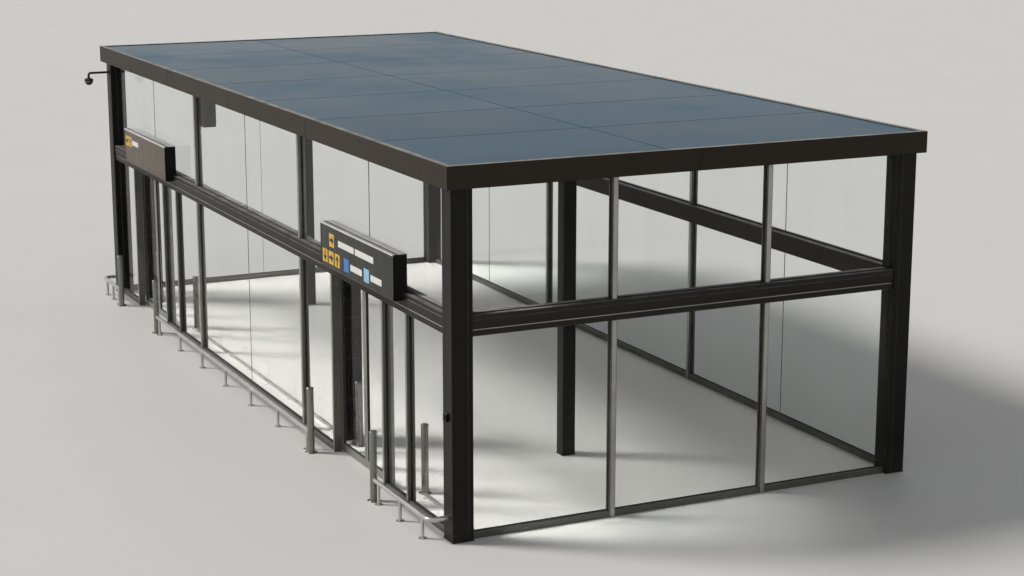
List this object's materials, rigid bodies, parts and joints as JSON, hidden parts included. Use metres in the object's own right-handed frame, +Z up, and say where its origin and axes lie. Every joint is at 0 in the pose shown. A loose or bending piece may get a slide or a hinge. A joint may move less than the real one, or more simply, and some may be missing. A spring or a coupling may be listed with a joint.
{
  "type": "glazed entrance lobby with sliding doors",
  "caption": "Flat-roofed glass entrance lobby on a dark steel frame, with bi-parting sliding doors, sign boxes over them, guard posts and bumper rails.",
  "frame": {"origin": "on the floor, at the centre of the whole outline", "axes": "+X from the hall side to the facade side, +Y from the near end to the far end, +Z up"},
  "size_m": [6.65, 14.725, 4.283],
  "materials": {
    "roof_panel": "gloss",
    "dark_steel": "satin",
    "fascia_metal": "satin",
    "satin_metal": "satin",
    "stainless": "brushed",
    "glass": "clear",
    "sign_case": "satin",
    "cabinet": "satin",
    "dome_plastic": "gloss"
  },
  "bodies": {
    "frame": {"roof_deck": "roof_panel", "roof_beams": "dark_steel", "fascia_hall": "fascia_metal", "fascia_facade": "fascia_metal", "fascia_near": "fascia_metal", "fascia_far": "fascia_metal", "corner_post_hall_near": "dark_steel", "corner_post_hall_far": "dark_steel", "corner_post_facade_near": "dark_steel", "corner_post_facade_far": "dark_steel", "inner_columns": "dark_steel", "hall_posts": "satin_metal", "facade_posts": "satin_metal", "near_posts": "satin_metal", "door_jambs": "satin_metal", "transom_hall": "fascia_metal", "transom_facade": "fascia_metal", "transom_near": "fascia_metal", "base_rails": "satin_metal", "lower_glass_hall": "glass", "upper_glass_hall": "glass", "lower_glass_facade": "glass", "upper_glass_facade": "glass", "lower_glass_near": "glass", "upper_glass_near": "glass", "glass_far": "glass", "sign_near": "sign_case", "sign_far": "sign_case", "guard_posts_hall": "stainless", "guard_posts_inside": "stainless", "bumper_rails": "stainless", "kerb_rails": "stainless", "air_curtain_near": "cabinet", "air_curtain_far": "cabinet", "camera_arm": "dark_steel", "camera_dome": "dome_plastic", "speaker_box": "cabinet"},
    "near_door_leaf_1": {"near_door_near_leaf": "satin_metal", "near_door_near_glass": "glass"},
    "near_door_leaf_2": {"near_door_far_leaf": "satin_metal", "near_door_far_glass": "glass"},
    "far_door_leaf_1": {"far_door_near_leaf": "satin_metal", "far_door_near_glass": "glass"},
    "far_door_leaf_2": {"far_door_far_leaf": "satin_metal", "far_door_far_glass": "glass"}
  },
  "joints": [
    {"name": "near_door_slide", "type": "slide", "parent": "frame", "child": "near_door_leaf_1", "axis": [0, -1, 0], "range_m": [0, 0.76]},
    {"name": "near_door_slide_2", "type": "slide", "parent": "frame", "child": "near_door_leaf_2", "axis": [0, 1, 0], "range_m": [0, 0.76]},
    {"name": "far_door_slide", "type": "slide", "parent": "frame", "child": "far_door_leaf_1", "axis": [0, -1, 0], "range_m": [0, 0.76]},
    {"name": "far_door_slide_2", "type": "slide", "parent": "frame", "child": "far_door_leaf_2", "axis": [0, 1, 0], "range_m": [0, 0.76]}
  ],
  "couplings": [
    {"joint": "near_door_slide_2", "follows": "near_door_slide", "ratio": 1},
    {"joint": "far_door_slide_2", "follows": "far_door_slide", "ratio": 1}
  ]
}
